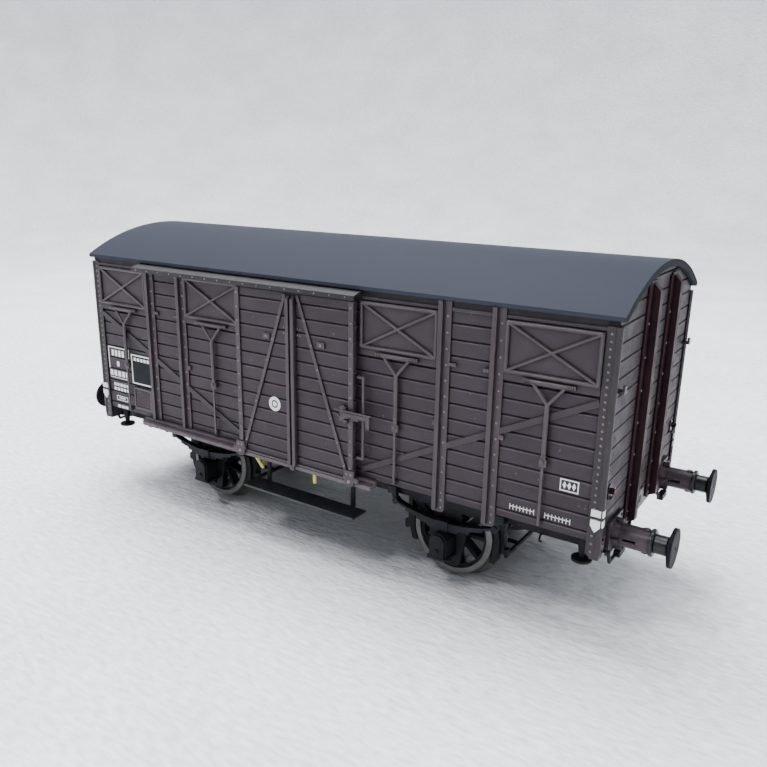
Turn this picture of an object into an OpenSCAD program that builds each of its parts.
// Two-axle covered goods wagon, 1:87 scale model, all sizes in millimetres.
// +X is the front end, -Y is the near side, Z is up and z = 0 is where the wheel flanges stand.
// The wagon looks the same after half a turn about Z, so both doors slide to their own left.

/* [Body] */
// Length over the end walls
body_l = 81.6; // [80.6:0.2:82.6]
// Width over the side walls
body_w = 30.0; // [29.6:0.1:30.4]
// Height of the lower edge of the planking
body_bottom = 13.4; // [13.4:0.1:13.6]
// Thickness of the plank walls
wall_t = 1.2; // [1.0:0.1:1.4]
// Height of the lowest groove between planks
first_groove = 14.37; // [14.3:0.01:14.5]
// Height of one plank
plank_pitch = 1.866; // [1.8:0.01:1.9]
// Depth of the grooves between planks
groove_depth = 0.3; // [0.1:0.05:0.4]

/* [Roof] */
// Length of the roof
roof_l = 82.8; // [82.4:0.2:84]
// Width of the roof
roof_w = 30.9; // [30.6:0.1:31.5]
// Height of the ridge
roof_top = 42.0; // [41.6:0.1:42.4]
// Height of the outer edge of the roof's upper face
roof_eave = 37.8; // [37.7:0.1:38]
// Thickness of the roof shell
roof_t = 0.8; // [0.6:0.1:1.0]

/* [Posts and shutters] */
// Distance of the inner side posts from the middle
inner_post_x = 21.5; // [21.3:0.1:21.7]
// Distance of the outer side posts from the middle
outer_post_x = 28.1; // [27.9:0.1:28.2]
// Width of a side post
post_w = 1.5; // [1.3:0.1:1.5]
// How far a side post stands out of the wall
post_d = 0.6; // [0.4:0.1:0.6]
// Distance of the end posts from the middle
end_post_y = 4.55; // [4.3:0.05:4.8]

/* [Doors] */
// Width of a sliding door
door_w = 19.4; // [19:0.1:19.6]
// Thickness of a door's planking
door_t = 0.5; // [0.4:0.1:0.5]
// How far a door slides open
door_travel = 19.4; // [17:0.1:19.4]

/* [Running gear] */
// Distance between the two axles
wheelbase = 41.6; // [41:0.1:42.4]
// Radius of the wheel tread
tread_r = 5.55; // [5.5:0.05:5.6]
// Height of the wheel flange above the tread
flange_h = 1.0; // [0.8:0.1:1.0]
// Distance between the inner faces of the two wheels
back_to_back = 14.4; // [14.3:0.1:14.5]
// Width of a tyre with its flange
tyre_w = 2.7; // [2.6:0.1:2.8]
// Number of spokes in a wheel
spokes = 9; // [8:1:12]

/* [Buffers and couplings] */
// Length over the buffer heads
over_buffers = 95.2; // [94.8:0.1:96]
// Distance of a buffer from the middle of the wagon
buffer_y = 10.06; // [10:0.02:10.1]
// Height of the buffers
buffer_z = 12.75; // [12.7:0.05:12.8]
// Radius of a buffer head
buffer_head_r = 2.2; // [2:0.05:2.3]
// How far a buffer can be pushed in
buffer_travel = 1.0; // [0.8:0.1:1.0]

/* [Hidden] */
$fn = 48;
eps = 0.01;
side_y = body_w / 2;
end_x = body_l / 2;
inner_x = end_x - wall_t;
wall_top = 37.35;
wheel_x = wheelbase / 2;
axle_z = tread_r + flange_h;
plank_rows = 12;

// The roof's outer arc runs through both eaves and the ridge
roof_rise = roof_top - roof_eave;
roof_r = (roof_w * roof_w / 4 + roof_rise * roof_rise) / (2 * roof_rise);
roof_cz = roof_top - roof_r;

// Shutters: [nearest, furthest] distance from the middle, and their heights
inner_shutter = [9.95, 20.7];
outer_shutter = [28.9, 39.5];
shutter_z = [29.5, 36.1];
shutter_d = 0.22;
shutter_rib = 0.25;

// Doorway in the side wall, and the door that covers it
doorway_w = 17.2;
doorway_z = [14.6, 35.6];
door_z = [13.05, 36.0];
door_in = side_y + 0.75;
door_out = door_in + door_t;
iron_out = door_out + 0.2;

// Underframe
solebar_y = [11.0, 11.8];
solebar_bottom = 10.9;
chassis_t = 0.8;
headstock_x = end_x - 0.9;
headstock_bottom = 11.3;
floor_t = 1.0;
screw_x = 12;
pivot_x = 31.5;
pivot_r = 0.9;
arm_z = [9.0, 10.0];
pocket_z = 9.5;
guard_y = [10.9, 11.4];
box_out = 14.0;
cup_r = 0.95;
journal_r = 0.5;
journal_gap = 0.05;

// ---- helpers ----

// The child, and the child again after half a turn about Z
module both_sides() {
    children();
    rotate([0, 0, 180]) children();
}

// The child at all four corners of the wagon
module four_corners() {
    for (across = [0, 1])
        for (along = [0, 1])
            mirror([along, 0, 0]) mirror([0, across, 0]) children();
}

// The child at both ends
module both_ends() {
    for (along = [0, 1]) mirror([along, 0, 0]) children();
}

// A block given by its lowest and highest corners
module block(low, high) {
    translate(low) cube(high - low);
}

// Extrudes an outline of (y, z) points along X
module along_x(x0, x1) {
    translate([x0, 0, 0]) rotate([90, 0, 90]) linear_extrude(x1 - x0) children();
}

// Extrudes an outline of (x, z) points from y0 to y1, with y0 < y1
module along_y(y0, y1) {
    translate([0, y1, 0]) rotate([90, 0, 0]) linear_extrude(y1 - y0) children();
}

// A flat bar in (x, z) from a to b
module bar_2d(a, b, w) {
    run = b - a;
    translate(a) rotate(atan2(run[1], run[0])) translate([0, -w / 2]) square([norm(run), w]);
}

// A round bar from a to b
module rod(a, b, r) {
    run = b - a;
    translate(a)
        rotate([0, acos(run[2] / norm(run)), atan2(run[1], run[0])])
            cylinder(r = r, h = norm(run), $fn = 20);
}

// The grooves between planks, cut into an outer face at y = -face.
// The upper lip is square and the lower lip is chamfered.
module plank_grooves(face, x0, x1) {
    for (k = [0:plank_rows - 1])
        translate([0, 0, first_groove + k * plank_pitch])
            along_x(x0, x1)
                polygon([
                    [-face - 1, 0.08],
                    [-face + groove_depth, 0.08],
                    [-face + groove_depth, -0.08],
                    [-face + groove_depth / 2, -0.08],
                    [-face, -0.2],
                    [-face - 1, -0.2]
                ]);
}

// ---- roof and body ----

module roof() {
    color("slategray")
    union() {
        difference() {
            intersection() {
                translate([-roof_l / 2, 0, roof_cz]) rotate([0, 90, 0])
                    cylinder(r = roof_r, h = roof_l, $fn = 96);
                block([-roof_l / 2, -roof_w / 2, wall_top], [roof_l / 2, roof_w / 2, roof_top + 1]);
            }
            translate([-roof_l / 2 - 1, 0, roof_cz]) rotate([0, 90, 0])
                cylinder(r = roof_r - roof_t, h = roof_l + 2, $fn = 96);
        }
        // Clips that press against the inside of the side walls
        four_corners() block([26, 13.0, 35.4], [32, 13.0 + 0.75, 38.2]);
    }
}

module side_wall() {
    color([0.28, 0.22, 0.23])
    difference() {
        block([-inner_x, -side_y, body_bottom], [inner_x, -side_y + wall_t, wall_top]);
        block([-doorway_w / 2, -side_y - 1, doorway_z[0]], [doorway_w / 2, -side_y + 2 * wall_t, doorway_z[1]]);
        plank_grooves(side_y, -inner_x - 1, inner_x + 1);
    }
}

module side_wall_near() {
    side_wall();
}

module side_wall_far() {
    rotate([0, 0, 180]) side_wall();
}

// Drawn with its outer face at y = -end_x and then turned to face +X
module end_wall() {
    color([0.28, 0.22, 0.23])
    intersection() {
        rotate([0, 0, 90])
            difference() {
                block([-side_y, -end_x, body_bottom], [side_y, -inner_x, roof_top]);
                plank_grooves(end_x, -side_y - 1, side_y + 1);
                translate([0, 0, plank_rows * plank_pitch]) plank_grooves(end_x, -side_y - 1, side_y + 1);
            }
        union() {
            block([0, -side_y, body_bottom], [end_x, side_y, wall_top]);
            intersection() {
                translate([0, 0, roof_cz]) rotate([0, 90, 0])
                    cylinder(r = roof_r - roof_t, h = end_x, $fn = 96);
                block([0, -side_y, wall_top - 1], [end_x, side_y, roof_top]);
            }
        }
    }
}

module end_wall_front() {
    end_wall();
}

module end_wall_rear() {
    rotate([0, 0, 180]) end_wall();
}

module corner_posts() {
    leg = 0.2;
    foot_z = 11.45;
    foot_w = 1.6;
    bead_r = 0.38;
    post_top = 36.75;
    color([0.3, 0.23, 0.24])
    four_corners()
        difference() {
            union() {
                translate([0, 0, foot_z]) linear_extrude(post_top - foot_z)
                    polygon([
                        [end_x + leg, side_y + leg],
                        [end_x - 1.25, side_y + leg],
                        [end_x - 1.25, side_y],
                        [end_x, side_y],
                        [end_x, side_y - 0.5],
                        [end_x + leg, side_y - 0.5]
                    ]);
                block([end_x, side_y - foot_w, foot_z], [end_x + leg, side_y, 13.3]);
                // Rounded bead along the corner
                translate([end_x - 0.03, side_y - 0.03, foot_z + 0.6])
                    cylinder(r = bead_r, h = post_top - foot_z - 0.6, $fn = 24);
            }
            block([end_x - 3, side_y - 3, foot_z - 1], [end_x, side_y, wall_top + 1]);
            // Cut corners at the foot of each leg
            translate([end_x - 1.25, side_y, foot_z]) rotate([0, 45, 0]) cube([0.8, 2, 0.8], center = true);
            translate([end_x, side_y - foot_w, foot_z]) rotate([45, 0, 0]) cube([2, 0.8, 0.8], center = true);
        }
}

// Front outline of a post in (x, z) with rounded lower corners
module post_outline(x, w, z0, z1) {
    r = w * 0.35;
    translate([x - w / 2, z0 + r]) square([w, z1 - z0 - r]);
    translate([x - w / 2 + r, z0]) square([w - 2 * r, z1 - z0]);
    for (side = [-1, 1]) translate([x + side * (w / 2 - r), z0 + r]) circle(r, $fn = 24);
}

// Angle-section posts: a riveted flange with a rib along its left edge.
// The ones the door slides past stop at its rails.
module side_posts() {
    flange_t = 0.2;
    rib_w = 0.55;
    rib_offset = (rib_w - post_w) / 2;
    color([0.3, 0.23, 0.24])
    both_sides() {
        for (x = [inner_post_x, outer_post_x])
            union() {
                along_y(-side_y - flange_t, -side_y) post_outline(x, post_w, 11.8, wall_top - 0.05);
                along_y(-side_y - post_d, -side_y) post_outline(x + rib_offset, rib_w, 12.0, wall_top - 0.05);
            }
        for (x = [-inner_post_x, -outer_post_x])
            union() {
                block([x - post_w / 2, -side_y - flange_t, body_bottom], [x + post_w / 2, -side_y, 36.15]);
                block([x - post_w / 2, -side_y - post_d, body_bottom], [x - post_w / 2 + rib_w, -side_y, 36.15]);
            }
    }
}

// Hat-section posts on the end walls, with a slanted top and a rounded foot
module end_posts() {
    flange_w = 2.4;
    flange_t = 0.25;
    crown_w = 1.1;
    crown_d = 0.85;
    foot = 11.9;
    top = 40.2;
    color([0.25, 0.17, 0.18])
    four_corners()
        translate([end_x, end_post_y, 0])
            union() {
                block([0, -flange_w / 2, foot + 0.4], [flange_t, flange_w / 2, top]);
                block([0, -flange_w / 2 + 0.4, foot], [flange_t, flange_w / 2 - 0.4, top]);
                for (side = [-1, 1])
                    translate([0, side * (flange_w / 2 - 0.4), foot + 0.4]) rotate([0, 90, 0])
                        cylinder(r = 0.4, h = flange_t, $fn = 24);
                translate([0, -crown_w / 2, 0]) rotate([90, 0, 0]) mirror([0, 0, 1])
                    linear_extrude(crown_w)
                        polygon([
                            [flange_t / 2, foot + 0.2],
                            [crown_d, foot + 0.4],
                            [crown_d, top - 1.0],
                            [flange_t / 2, top - 0.05]
                        ]);
            }
}

// ---- fittings on the sides ----

module shutter(x0, x1) {
    rib = 0.45;
    rib_z = [shutter_z[0] + 0.85, shutter_z[1]];
    back = -side_y - shutter_d;
    block([x0, back, shutter_z[0]], [x1, -side_y, shutter_z[1]]);
    along_y(back - shutter_rib, back) {
        difference() {
            translate([x0, rib_z[0]]) square([x1 - x0, rib_z[1] - rib_z[0]]);
            translate([x0 + rib, rib_z[0] + rib]) square([x1 - x0 - 2 * rib, rib_z[1] - rib_z[0] - 2 * rib]);
        }
        bar_2d([x0 + rib / 2, rib_z[0] + rib / 2], [x1 - rib / 2, rib_z[1] - rib / 2], 0.34);
        bar_2d([x0 + rib / 2, rib_z[1] - rib / 2], [x1 - rib / 2, rib_z[0] + rib / 2], 0.34);
    }
}

module shutters() {
    color([0.3, 0.25, 0.27])
    both_sides()
        both_ends() {
            shutter(inner_shutter[0], inner_shutter[1]);
            shutter(outer_shutter[0], outer_shutter[1]);
        }
}

// Prop under a shutter: a bar, two arms, a stem with a latch and a strap down to the sill
module shutter_stay(x) {
    back = -side_y - shutter_d - shutter_rib;
    out = back - 0.15;
    along_y(out, back) {
        translate([x - 2.05, shutter_z[0] + 0.15]) square([4.1, 0.32]);
        bar_2d([x - 1.8, shutter_z[0] + 0.3], [x, 27.6], 0.3);
        bar_2d([x + 1.8, shutter_z[0] + 0.3], [x, 27.6], 0.3);
        translate([x - 0.25, 21.6]) square([0.5, 6.2]);
        translate([x - 0.42, 20.7]) square([0.84, 0.9]);
        translate([x - 0.14, 13.8]) square([0.28, 7.0]);
    }
    // Feet that carry the prop on the wall and on the shutter
    block([x - 0.42, back, 20.9], [x + 0.42, -side_y, 21.5]);
    block([x - 0.2, back, 13.8], [x + 0.2, -side_y, 14.3]);
    block([x - 1.6, back, shutter_z[0] + 0.15], [x + 1.6, -side_y - shutter_d, shutter_z[0] + 0.47]);
}

module shutter_stays() {
    inner_mid = (inner_shutter[0] + inner_shutter[1]) / 2;
    outer_mid = (outer_shutter[0] + outer_shutter[1]) / 2;
    color([0.3, 0.25, 0.27])
    both_sides()
        for (x = [inner_mid, outer_mid])
            for (side = [-1, 1])
                shutter_stay(side * x);
}

module diagonal_braces() {
    color([0.3, 0.25, 0.27])
    both_sides()
        both_ends()
            along_y(-side_y - 0.2, -side_y)
                difference() {
                    bar_2d([10.2, 14.5], [end_x - 1.27, 28.75], 0.72);
                    for (x = [inner_post_x, outer_post_x])
                        translate([x - post_w / 2 - eps, 0]) square([post_w + 2 * eps, 40]);
                    translate([end_x - 1.26, 0]) square([5, 40]);
                }
}

// Sloping cover that hides the door's upper track
module door_top_rails() {
    lip = side_y + 1.9;
    color([0.36, 0.32, 0.34])
    both_sides()
        along_x(-door_w / 2 - door_travel - 0.7, door_w / 2 + 0.4)
            polygon([
                [-side_y, 37.3],
                [-lip, 36.8],
                [-lip, 36.22],
                [-lip + 0.2, 36.22],
                [-lip + 0.2, 36.62],
                [-side_y, 37.08]
            ]);
}

// Ledge that the door's rollers run on, with brackets from the underframe
module door_bottom_rails() {
    top = 12.95;
    bottom = top - 0.5;
    left = -door_w / 2 - door_travel - 0.9;
    right = door_w / 2 + 2.7;
    color([0.34, 0.28, 0.29])
    both_sides()
        union() {
            block([left, -side_y - 1.4, bottom], [right, -side_y, top]);
            intersection() {
                translate([left, -side_y - 0.2, bottom]) cylinder(r = 1.2, h = top - bottom);
                block([left - 1.5, -side_y - 1.4, bottom], [left + 0.1, -side_y, top]);
            }
            // Upstand that closes the gap below the planks, behind the door
            block([left - 0.6, -side_y - 0.65, bottom], [right, -side_y, body_bottom - 0.02]);
            for (x = [-27, -18.5, -10, 0, 10])
                block([x - 0.5, -side_y, bottom], [x + 0.5, -solebar_y[1], body_bottom - 0.02]);
        }
}

// Bent-wire handles beside the doors
module grab_rails() {
    r = 0.18;
    x = 10.9;
    foot_x = 10.1;
    out = -side_y - 0.9;
    color([0.2, 0.17, 0.18])
    both_sides()
        union() {
            rod([x, out, 16.25], [x, out, 26.75], r);
            for (z = [16.25, 26.75]) {
                rod([foot_x, -side_y, z], [foot_x, out, z], r);
                rod([foot_x, out, z], [x, out, z], r);
                for (bend = [foot_x, x]) translate([bend, out, z]) sphere(r, $fn = 20);
            }
        }
}

module footboards() {
    color([0.1, 0.11, 0.12])
    both_sides()
        translate([0, 0, 7.55]) linear_extrude(0.27)
            polygon([[-9.6, -16.1], [-9.5, -16.2], [9.5, -16.2], [9.6, -16.1], [9.6, -13.2], [-9.6, -13.2]]);
}

// Flat steel hangers: a foot under the board, an upright and a return to the solebar
module footboard_brackets() {
    color([0.1, 0.1, 0.11])
    both_sides()
        for (x = [-7.4, 7.4])
            union() {
                block([x - 0.3, -15.2, 7.25], [x + 0.3, -12.9, 7.55]);
                block([x - 0.3, -13.2, 7.25], [x + 0.3, -12.9, 12.0]);
                block([x - 0.3, -13.2, 11.7], [x + 0.3, -solebar_y[1], 12.0]);
            }
}

// Sliding door: planks in a panel, with a tongue that runs behind the cover's lip
module door() {
    color([0.3, 0.24, 0.25])
    union() {
        difference() {
            block([-door_w / 2, -door_out, door_z[0]], [door_w / 2, -door_in, door_z[1]]);
            plank_grooves(door_out, -door_w / 2 - 1, door_w / 2 + 1);
        }
        block([-door_w / 2 + 1, -door_out + 0.1, door_z[1] - 0.1], [door_w / 2 - 1, -door_in, door_z[1] + 0.45]);
    }
}

module door_near() {
    door();
}

module door_far() {
    rotate([0, 0, 180]) door();
}

// Edge strips, middle bars, straps, plates, latch and roller brackets of a door
module door_ironwork() {
    half = door_w / 2;
    bar_out = door_out + 0.6;
    color([0.31, 0.24, 0.25])
    union() {
        along_y(-iron_out, -door_out) {
            for (side = [-1, 1]) {
                translate([side * (half - 0.35) - 0.35, door_z[0]]) square([0.7, door_z[1] - door_z[0]]);
                bar_2d([side * 1.0, door_z[1] - 0.2], [side * (half - 0.9), door_z[0] + 0.6], 0.44);
            }
            translate([-half, door_z[0]]) square([door_w, 0.28]);
            translate([-4.8, 29.65]) square([1.1, 0.75]);
            translate([4.2, 29.65]) square([1.1, 0.75]);
        }
        for (side = [-1, 1])
            along_x(side * 0.4 - 0.24, side * 0.4 + 0.24)
                polygon([
                    [-door_out, door_z[0]],
                    [-bar_out, door_z[0]],
                    [-bar_out, door_z[1] - 0.7],
                    [-door_out, door_z[1] - 0.1]
                ]);
        // Latch: a bar with a turned-down end
        block([half - 1.0, -iron_out - 0.5, 21.5], [half - 0.3, -door_out, 22.2]);
        block([half - 1.0, -iron_out - 0.5, 21.7], [half + 2.8, -iron_out - 0.15, 22.2]);
        block([half + 2.3, -iron_out - 0.5, 20.7], [half + 2.8, -iron_out - 0.15, 22.2]);
        // Roller brackets that hang over the lower rail
        for (side = [-1, 1]) {
            block([side * (half - 0.35) - 0.75, -iron_out - 0.3, 13.1], [side * (half - 0.35) + 0.75, -iron_out, 14.5]);
            along_y(-iron_out - 0.3, -iron_out)
                translate([side * (half - 0.35), 13.1]) circle(0.75);
        }
    }
}

module door_ironwork_near() {
    door_ironwork();
}

module door_ironwork_far() {
    rotate([0, 0, 180]) door_ironwork();
}

// Writing board held between the outer post and the corner
module chalkboards() {
    color([0.08, 0.08, 0.09])
    both_sides()
        block([-33.6, -side_y - 0.18, 18.3], [-29.0, -side_y, 23.0]);
}

// Framed wire-mesh holder for the waybill
module label_holders() {
    x0 = -33.3;
    z0 = 14.3;
    w = 4.1;
    h = 3.5;
    color([0.2, 0.18, 0.18])
    both_sides()
        difference() {
            block([x0, -side_y - 0.35, z0], [x0 + w, -side_y, z0 + h]);
            block([x0 + 0.35, -side_y - 1, z0 + 0.35], [x0 + w - 0.35, -side_y - 0.15, z0 + h - 0.35]);
        }
}

// ---- floor, weight and underframe ----

module floor_plate() {
    color([0.2, 0.17, 0.17])
    difference() {
        union() {
            block([-inner_x, -side_y + wall_t, body_bottom], [inner_x, side_y - wall_t, body_bottom + floor_t]);
            for (side = [-1, 1])
                translate([side * screw_x, 0, body_bottom]) cylinder(r = 2.0, h = 2.8);
        }
        for (side = [-1, 1])
            translate([side * screw_x, 0, body_bottom - 1]) cylinder(r = 0.8, h = 3.2);
    }
}

module ballast_weight() {
    color([0.5, 0.5, 0.52])
    difference() {
        block([-30, -10, body_bottom + floor_t], [30, 10, body_bottom + floor_t + 1.4]);
        for (side = [-1, 1])
            translate([side * screw_x, 0, body_bottom]) cylinder(r = 2.2, h = 5);
    }
}

// Underframe moulding: solebars, the plate between them and the coupling pivots
module chassis() {
    plate_z = body_bottom - chassis_t;
    color([0.09, 0.09, 0.1])
    difference() {
        union() {
            for (side = [0, 1]) mirror([0, side, 0])
                block([-headstock_x, solebar_y[0], solebar_bottom], [headstock_x, solebar_y[1], body_bottom]);
            block([-37.5, -solebar_y[0], plate_z], [37.5, solebar_y[0], body_bottom]);
            both_ends()
                translate([pivot_x, 0, arm_z[0] - 0.5]) cylinder(r = pivot_r, h = body_bottom - arm_z[0]);
            both_ends()
                translate([pivot_x, 0, arm_z[1] + 0.1]) cylinder(r = 2.2, h = plate_z - arm_z[1]);
        }
        // Room for the wheel flanges
        four_corners()
            block([wheel_x - 4.2, 6.7, plate_z - 1], [wheel_x + 4.2, 10.4, body_bottom + 1]);
        for (side = [-1, 1])
            translate([side * screw_x, 0, plate_z - 1]) cylinder(r = 0.9, h = 3);
    }
}

module headstocks() {
    color([0.28, 0.21, 0.22])
    both_ends()
        difference() {
            block([headstock_x, -side_y + 0.1, headstock_bottom], [end_x, side_y - 0.1, body_bottom]);
            for (side = [-1, 1])
                translate([headstock_x - 1, side * buffer_y, buffer_z]) rotate([0, 90, 0])
                    cylinder(r = 0.45, h = 4);
        }
}

module body_screws() {
    head_z = body_bottom - chassis_t;
    color("silver")
    for (side = [-1, 1])
        translate([side * screw_x, 0, 0])
            difference() {
                union() {
                    translate([0, 0, head_z - 0.9]) cylinder(r = 1.5, h = 0.9);
                    translate([0, 0, head_z]) cylinder(r = 0.8, h = 2.6);
                }
                block([-0.2, -2, head_z - 1.5], [0.2, 2, head_z - 0.5]);
            }
}

// Plates that hold the leaf springs' axle boxes, in outline relative to the axle
module guard_outline() {
    leg_top = solebar_bottom - axle_z;
    difference() {
        union() {
            for (side = [-1, 1])
                polygon([
                    [side * 0.9, -3.3],
                    [side * 1.9, -3.3],
                    [side * 2.6, 0.8],
                    [side * 5.4, leg_top],
                    [side * 0.9, leg_top]
                ]);
            translate([-1.7, -3.6]) square([3.4, 0.6]);
            translate([-1, 1.3]) square([2, leg_top - 1.3]);
            circle(1.5);
        }
        for (side = [-1, 1])
            polygon([[side * 2.0, 2.0], [side * 3.6, leg_top - 0.6], [side * 2.0, leg_top - 0.6]]);
    }
}

module axle_guards() {
    color([0.1, 0.1, 0.11])
    four_corners()
        translate([wheel_x, 0, axle_z])
            difference() {
                along_y(guard_y[0], guard_y[1]) guard_outline();
                translate([0, guard_y[0] - 1, 0]) rotate([-90, 0, 0]) cylinder(r = cup_r, h = 3);
            }
}

// One leaf: a strip bent to radius r whose middle is at the origin, in (x, z)
module leaf_2d(r, half, t) {
    intersection() {
        translate([0, r]) difference() {
            circle(r, $fn = 180);
            circle(r - t, $fn = 180);
        }
        translate([-half, -1]) square([2 * half, 6]);
    }
}

module leaf_springs() {
    leaf_t = 0.28;
    leaves = 4;
    top = 9.15;
    bend = 21;
    eye_x = 7.0;
    eye_z = top - leaf_t + bend - sqrt(bend * bend - eye_x * eye_x) + 0.1;
    color([0.13, 0.14, 0.15])
    four_corners()
        translate([wheel_x, 0, 0])
            union() {
                along_y(11.85, 12.75) {
                    for (k = [0:leaves - 1])
                        translate([0, top - (k + 1) * leaf_t]) leaf_2d(bend + k * leaf_t, eye_x - 1.6 * k, leaf_t);
                    for (side = [-1, 1]) translate([side * eye_x, eye_z]) circle(0.42);
                }
                // Buckle on the axle box
                block([-0.8, 11.7, axle_z + 1.45], [0.8, 12.9, top + 0.2]);
                // Shackle brackets up to the solebar
                for (side = [-1, 1]) {
                    along_y(12.0, 12.6) bar_2d([side * eye_x, eye_z], [side * (eye_x + 0.5), 11.6], 0.6);
                    block([side * (eye_x + 0.5) - 0.6, solebar_y[1], 11.1], [side * (eye_x + 0.5) + 0.6, 12.75, 12.1]);
                }
            }
}

module axle_boxes() {
    color([0.08, 0.08, 0.09])
    four_corners()
        translate([wheel_x, 0, axle_z])
            difference() {
                union() {
                    along_y(guard_y[1], box_out - 0.3) {
                        translate([-1.2, -1.9]) square([2.4, 2.35]);
                        translate([-1.2, 0.45]) square([2.4, 0.3]);
                        translate([0, 0.25]) circle(1.2);
                    }
                    // Front cover, bottom lip and cover bolt
                    along_y(box_out - 0.3, box_out) {
                        translate([-1.0, -1.6]) square([2.0, 1.85]);
                        translate([0, 0.25]) circle(1.0);
                    }
                    block([-1.35, guard_y[1], -2.1], [1.35, box_out - 0.1, -1.7]);
                    translate([0, box_out - 0.1, -0.9]) rotate([-90, 0, 0]) cylinder(r = 0.3, h = 0.3, $fn = 24);
                }
                translate([0, guard_y[1] - 1, 0]) rotate([-90, 0, 0]) cylinder(r = cup_r, h = 2.6);
            }
}

// Turned cups that the axle points run in
module bearing_cups() {
    color([0.75, 0.6, 0.25])
    four_corners()
        translate([wheel_x, 0, axle_z])
            difference() {
                translate([0, guard_y[0] + 0.1, 0]) rotate([-90, 0, 0]) cylinder(r = cup_r, h = 2.0);
                translate([0, guard_y[0] - 1, 0]) rotate([-90, 0, 0])
                    cylinder(r = journal_r + journal_gap, h = 2.4);
                translate([0, guard_y[0] + 1.4 - eps, 0]) rotate([-90, 0, 0])
                    cylinder(r1 = journal_r + journal_gap, r2 = 0.1, h = 0.5);
            }
}

// ---- brakes ----

module brake_shoes() {
    shoe_in = tread_r + 0.2;
    shoe_out = tread_r + 0.95;
    y0 = back_to_back / 2 + 0.95;
    y1 = back_to_back / 2 + tyre_w - 0.15;
    color([0.1, 0.1, 0.11])
    four_corners()
        translate([wheel_x, 0, axle_z])
            for (side = [-1, 1])
                union() {
                    intersection() {
                        translate([0, y0, 0]) rotate([-90, 0, 0])
                            difference() {
                                cylinder(r = shoe_out, h = y1 - y0, $fn = 96);
                                translate([0, 0, -1]) cylinder(r = shoe_in, h = 5, $fn = 96);
                            }
                        block([min(0, side * 9), y0 - 1, -2.6], [max(0, side * 9), y1 + 1, 2.0]);
                    }
                    // Hanger up to the chassis plate
                    translate([side * (shoe_out + 0.15), 0, 0])
                        block([-0.3, y0 + 0.4, -1.2], [0.3, y1 - 0.4, body_bottom - chassis_t - axle_z]);
                }
}

// Brake shaft, its carriers, the beams between shoes, and the pull rods
module brake_rigging() {
    beam_x = tread_r + 1.65;
    beam_z = 5.2;
    shaft_z = 9.4;
    color([0.1, 0.1, 0.11])
    union() {
        rod([0, -10.2, shaft_z], [0, 10.2, shaft_z], 0.4);
        for (side = [-1, 1]) {
            block([-0.5, side * 9.5 - 0.3, shaft_z - 0.5], [0.5, side * 9.5 + 0.3, body_bottom - chassis_t]);
            block([-0.35, side * 2.0 - 0.25, shaft_z - 1.9], [0.35, side * 2.0 + 0.25, shaft_z + 1.9]);
        }
        for (end = [-1, 1])
            for (way = [-1, 1]) {
                rod([end * wheel_x + way * beam_x, -9.2, beam_z], [end * wheel_x + way * beam_x, 9.2, beam_z], 0.28);
                for (side = [-1, 1])
                    translate([end * wheel_x + way * beam_x, side * 8.9, beam_z])
                        block([-0.25, -0.4, 0], [0.25, 0.4, 0.9]);
            }
        for (end = [-1, 1]) {
            for (side = [-1, 1])
                translate([end * wheel_x, side * 5, beam_z])
                    block([-beam_x, -0.18, -0.25], [beam_x, 0.18, 0.15]);
            rod([0, end * 2.0, shaft_z + end * 1.6], [end * (wheel_x - beam_x), end * 2.0, beam_z], 0.22);
        }
    }
}

module brake_cylinder() {
    color([0.1, 0.1, 0.11])
    union() {
        translate([-9, 5, 10.3]) rotate([0, 90, 0]) cylinder(r = 1.7, h = 6.5);
        translate([-9.3, 5, 10.3]) rotate([0, 90, 0]) cylinder(r = 2.0, h = 0.8);
        block([-8, 4.4, 11], [-4, 5.6, body_bottom - chassis_t]);
    }
}

module air_reservoir() {
    color([0.1, 0.1, 0.11])
    union() {
        translate([3.5, -5.5, 10.2]) rotate([0, 90, 0]) cylinder(r = 2.0, h = 8.0);
        translate([3.5, -5.5, 10.2]) sphere(2.0);
        translate([11.5, -5.5, 10.2]) sphere(2.0);
        block([4.5, -6.1, 11], [10.5, -4.9, body_bottom - chassis_t]);
    }
}

// Changeover handles on the solebars
module brake_levers() {
    color([0.75, 0.7, 0.3])
    both_sides() {
        along_y(-14.2, -13.9) bar_2d([1.7, 11.8], [1.7, 10.0], 0.45);
        rod([1.7, -13.9, 11.6], [1.7, -solebar_y[1], 11.6], 0.2);
        along_y(-14.2, -13.9) bar_2d([-9.1, 11.6], [-7.6, 10.0], 0.45);
        rod([-8.2, -13.9, 10.64], [-8.2, -12.4, 10.64], 0.2);
        rod([-8.2, -12.4, 10.64], [-8.2, -solebar_y[1], 11.2], 0.2);
    }
}

// ---- buffers ----

housing_x = [end_x, end_x + 4.7];
shank_r = 1.05;
bore_r = 1.1;
shank_x = end_x + 1.4 + buffer_travel;
head_x = over_buffers / 2;
tail_r = 0.4;

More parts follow.
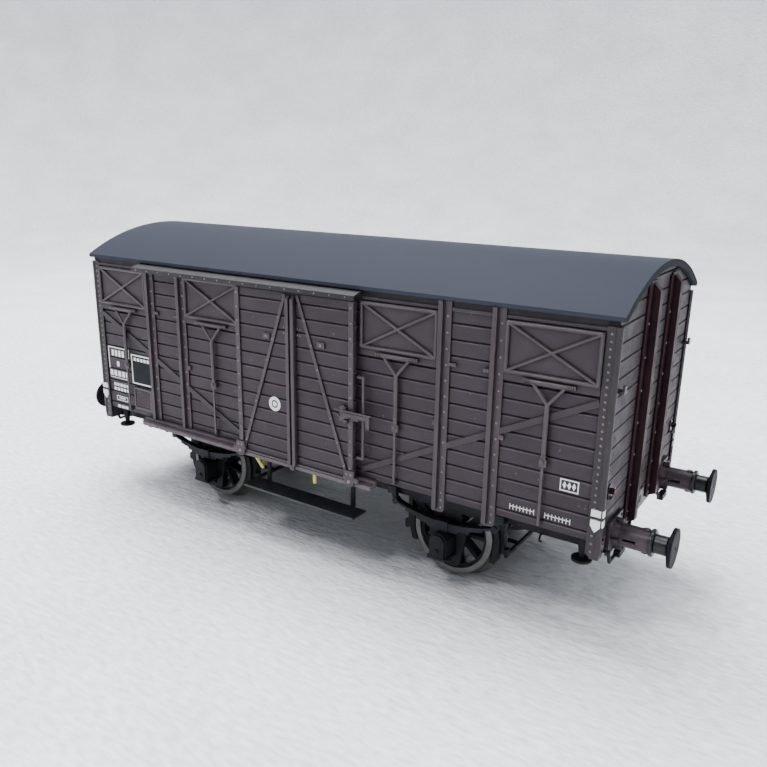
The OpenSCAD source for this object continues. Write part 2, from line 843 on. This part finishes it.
module buffer_housings() {
    color([0.3, 0.22, 0.23])
    four_corners()
        translate([0, buffer_y, buffer_z])
            difference() {
                union() {
                    block([housing_x[0], -2.2, -2.0], [housing_x[0] + 0.4, 2.2, 2.0]);
                    translate([housing_x[0], 0, 0]) rotate([0, 90, 0]) cylinder(r1 = 1.6, r2 = 1.3, h = 1.0);
                    translate([housing_x[0], 0, 0]) rotate([0, 90, 0]) cylinder(r = 1.3, h = 4.6);
                    translate([housing_x[1] - 0.45, 0, 0]) rotate([0, 90, 0]) cylinder(r = 1.48, h = 0.4);
                    // Ribs from the foot plate
                    block([housing_x[0], -2.0, -0.12], [housing_x[0] + 1.2, 2.0, 0.12]);
                    block([housing_x[0], -0.12, -1.9], [housing_x[0] + 1.2, 0.12, 1.9]);
                }
                translate([housing_x[0] + 0.6, 0, 0]) rotate([0, 90, 0]) cylinder(r = bore_r, h = 6);
                translate([housing_x[0] - 1, 0, 0]) rotate([0, 90, 0]) cylinder(r = 0.45, h = 3);
                // Slots in the sides
                for (side = [-1, 1])
                    block([housing_x[0] + 1.5, side * 1.3 - 0.5, -0.14], [housing_x[0] + 2.9, side * 1.3 + 0.5, 0.14]);
            }
}

// Plunger with its head, drawn about its own axis
module buffer_plunger() {
    color([0.2, 0.22, 0.24])
    translate([0, buffer_y, buffer_z])
        difference() {
            union() {
                translate([shank_x, 0, 0]) rotate([0, 90, 0]) cylinder(r = shank_r, h = head_x - shank_x - 0.3);
                translate([head_x - 0.75, 0, 0]) rotate([0, 90, 0])
                    cylinder(r1 = shank_r, r2 = buffer_head_r - 0.1, h = 0.35, $fn = 64);
                translate([head_x - 0.4, 0, 0]) rotate([0, 90, 0]) cylinder(r = buffer_head_r, h = 0.4, $fn = 64);
                translate([headstock_x - 0.4, 0, 0]) rotate([0, 90, 0])
                    cylinder(r = tail_r, h = shank_x - headstock_x + 1);
                translate([headstock_x - 0.4, 0, 0]) rotate([0, 90, 0]) cylinder(r = 0.6, h = 0.3);
            }
            translate([head_x - 0.3, 0, 0]) rotate([0, 90, 0]) cylinder(r = 0.22, h = 1, $fn = 24);
        }
}

// Coil spring as a swept tube about the X axis
spring_wire = 0.11;
spring_r = 0.72;
spring_turns = 5;
spring_x = [end_x + 0.75, shank_x - 0.15];
spring_sides = 6;
spring_steps = 60;

function spring_point(step, side) =
    let (turn = 360 * spring_turns * step / spring_steps)
    let (around = 360 * side / spring_sides)
    let (rad = spring_r + spring_wire * cos(around))
    [
        spring_x[0] + (spring_x[1] - spring_x[0]) * step / spring_steps + spring_wire * sin(around),
        rad * cos(turn),
        rad * sin(turn)
    ];

module buffer_spring() {
    points = [
        for (step = [0:spring_steps])
            for (side = [0:spring_sides - 1])
                spring_point(step, side)
    ];
    skin = [
        for (step = [0:spring_steps - 1])
            for (side = [0:spring_sides - 1])
                let (next = (side + 1) % spring_sides)
                [
                    step * spring_sides + side,
                    step * spring_sides + next,
                    (step + 1) * spring_sides + next,
                    (step + 1) * spring_sides + side
                ]
    ];
    first = [for (side = [spring_sides - 1:-1:0]) side];
    last = [for (side = [0:spring_sides - 1]) spring_steps * spring_sides + side];
    color("silver")
    translate([0, buffer_y, buffer_z]) polyhedron(points, concat(skin, [first, last]));
}

module buffer_spring_front_near() {
    mirror([0, 1, 0]) buffer_spring();
}

module buffer_spring_front_far() {
    buffer_spring();
}

module buffer_spring_rear_near() {
    rotate([0, 0, 180]) buffer_spring();
}

module buffer_spring_rear_far() {
    mirror([1, 0, 0]) buffer_spring();
}

module buffer_front_near() {
    mirror([0, 1, 0]) buffer_plunger();
}

module buffer_front_far() {
    buffer_plunger();
}

module buffer_rear_near() {
    rotate([0, 0, 180]) buffer_plunger();
}

module buffer_rear_far() {
    mirror([1, 0, 0]) buffer_plunger();
}

// ---- fittings on the ends ----

module draw_plates() {
    color([0.28, 0.21, 0.22])
    both_ends()
        difference() {
            block([end_x, -1.3, 11.9], [end_x + 0.25, 1.3, 14.2]);
            // Slot for a draw hook
            block([end_x - 1, -0.3, 12.6], [end_x + 1, 0.3, 13.5]);
        }
}

// Bent rails that a shunter holds, under each buffer, with their clamp block
module shunter_handrails() {
    r = 0.2;
    x = end_x + 0.65;
    points = [[6.9, 11.7], [8.3, 10.2], [12.3, 10.2], [13.05, 11.7]];
    color([0.07, 0.07, 0.08])
    four_corners()
        union() {
            for (k = [0:2])
                rod([x, points[k][0], points[k][1]], [x, points[k + 1][0], points[k + 1][1]], r);
            for (p = points) translate([x, p[0], p[1]]) sphere(r, $fn = 20);
            for (p = [points[0], points[3]]) rod([end_x, p[0], p[1]], [x, p[0], p[1]], r);
            block([x - 0.2, 8.2, 9.95], [x + 0.55, 10.3, 10.65]);
        }
}

// Rope and jacking pads under the corners
module rope_pads() {
    color([0.07, 0.07, 0.08])
    four_corners()
        translate([38.6, 13.0, 0])
            union() {
                translate([0, 0, 9.9]) cylinder(r = 1.15, h = 0.3);
                translate([0, 0, 10.15]) cylinder(r1 = 0.3, r2 = 0.75, h = body_bottom - 10.15);
            }
}

// Lamp irons near the top of the corners, and lamp sockets low on the end walls
module lamp_brackets() {
    color([0.16, 0.13, 0.14])
    four_corners()
        translate([end_x, side_y, 0])
            union() {
                // Lamp iron near the top
                block([0, -1.5, 29.9], [0.9, -0.55, 30.15]);
                block([0.65, -1.35, 29.9], [0.9, -0.7, 30.7]);
                // Arched plate of the lower lamp socket
                block([0, -2.6, 17.9], [0.15, -1.5, 19.0]);
                translate([0, -2.05, 19.0]) rotate([0, 90, 0]) cylinder(r = 0.55, h = 0.15);
                block([0, -2.5, 17.95], [0.45, -1.6, 18.05]);
            }
}

// ---- couplings ----

// Swinging arm with the pocket that a coupling head plugs into
module coupling_arm() {
    pocket_x = [34.4, headstock_x];
    color([0.08, 0.08, 0.09])
    difference() {
        union() {
            translate([pivot_x, 0, arm_z[0]]) cylinder(r = 2.0, h = arm_z[1] - arm_z[0]);
            block([pivot_x, -1.2, arm_z[0]], [pocket_x[0] + 1, 1.2, arm_z[1]]);
            block([pocket_x[0], -2.1, pocket_z - 1.4], [pocket_x[1], 2.1, pocket_z + 1.4]);
        }
        translate([pivot_x, 0, arm_z[0] - 1]) cylinder(r = pivot_r + 0.05, h = 4);
        block([pocket_x[0] + 0.8, -1.625, pocket_z - 0.875], [pocket_x[1] + 1, 1.625, pocket_z + 0.875]);
    }
}

module coupling_arm_front() {
    coupling_arm();
}

module coupling_arm_rear() {
    rotate([0, 0, 180]) coupling_arm();
}

// Discs pressed on the pivots to keep the arms up
module coupling_keepers() {
    color([0.12, 0.12, 0.13])
    both_ends()
        translate([pivot_x, 0, arm_z[0] - 0.5])
            difference() {
                cylinder(r = 2.2, h = 0.4);
                translate([0, 0, -1]) cylinder(r = pivot_r, h = 3);
            }
}

// ---- wheelsets ----

module axle() {
    point_y = guard_y[0] + 1.75;
    color("silver")
    translate([wheel_x, 0, axle_z])
        union() {
            translate([0, -back_to_back / 2 - tyre_w, 0]) rotate([-90, 0, 0])
                cylinder(r = 1.0, h = back_to_back + 2 * tyre_w);
            translate([0, -point_y + 0.45, 0]) rotate([-90, 0, 0])
                cylinder(r = journal_r, h = 2 * point_y - 0.9);
            for (side = [0, 1]) mirror([0, side, 0])
                translate([0, point_y - 0.45, 0]) rotate([-90, 0, 0])
                    cylinder(r1 = journal_r, r2 = 0.08, h = 0.45);
        }
}

// Spoked centres, pressed on the axle
module wheel_centres() {
    rim_r = tread_r - 0.75;
    in_y = back_to_back / 2;
    color([0.07, 0.07, 0.08])
    translate([wheel_x, 0, axle_z])
        for (side = [0, 1]) mirror([0, side, 0])
            difference() {
                union() {
                    translate([0, in_y, 0]) rotate([-90, 0, 0])
                        difference() {
                            cylinder(r = rim_r, h = tyre_w - 0.35, $fn = 96);
                            translate([0, 0, -1]) cylinder(r = rim_r - 0.45, h = 6, $fn = 96);
                        }
                    translate([0, in_y, 0]) rotate([-90, 0, 0]) cylinder(r = 1.55, h = tyre_w - 0.1);
                    for (k = [0:spokes - 1])
                        rotate([0, k * 360 / spokes, 0])
                            block([1.2, in_y + 0.7, -0.24], [rim_r - 0.3, in_y + tyre_w - 0.6, 0.24]);
                }
                translate([0, in_y - 1, 0]) rotate([-90, 0, 0]) cylinder(r = 1.0, h = 6);
            }
}

// Turned tyres, flange towards the middle of the wagon
module tyres() {
    in_y = back_to_back / 2;
    hole_r = tread_r - 0.75;
    color([0.6, 0.6, 0.58])
    translate([wheel_x, 0, axle_z])
        for (side = [0, 1]) mirror([0, side, 0])
            translate([0, in_y, 0]) rotate([-90, 0, 0])
                rotate_extrude($fn = 96)
                    polygon([
                        [hole_r, 0],
                        [tread_r + flange_h - 0.25, 0],
                        [tread_r + flange_h, 0.2],
                        [tread_r + flange_h, 0.42],
                        [tread_r + 0.25, 0.72],
                        [tread_r, 0.95],
                        [tread_r, tyre_w - 0.12],
                        [tread_r - 0.12, tyre_w],
                        [hole_r, tyre_w]
                    ]);
}

module axle_front() {
    axle();
}

module axle_rear() {
    rotate([0, 0, 180]) axle();
}

module wheel_centres_front() {
    wheel_centres();
}

module wheel_centres_rear() {
    rotate([0, 0, 180]) wheel_centres();
}

module tyres_front() {
    tyres();
}

module tyres_rear() {
    rotate([0, 0, 180]) tyres();
}

roof();
side_wall_near();
side_wall_far();
end_wall_front();
end_wall_rear();
corner_posts();
side_posts();
end_posts();
floor_plate();
ballast_weight();
chassis();
headstocks();
shutters();
shutter_stays();
diagonal_braces();
door_top_rails();
door_bottom_rails();
grab_rails();
footboards();
footboard_brackets();
axle_guards();
leaf_springs();
axle_boxes();
bearing_cups();
brake_shoes();
brake_rigging();
brake_cylinder();
air_reservoir();
brake_levers();
buffer_housings();
buffer_spring_front_near();
buffer_spring_front_far();
buffer_spring_rear_near();
buffer_spring_rear_far();
draw_plates();
shunter_handrails();
rope_pads();
lamp_brackets();
chalkboards();
label_holders();
body_screws();
coupling_keepers();
axle_front();
axle_rear();
wheel_centres_front();
wheel_centres_rear();
tyres_front();
tyres_rear();
buffer_front_near();
buffer_front_far();
buffer_rear_near();
buffer_rear_far();
door_near();
door_far();
door_ironwork_near();
door_ironwork_far();
coupling_arm_front();
coupling_arm_rear();
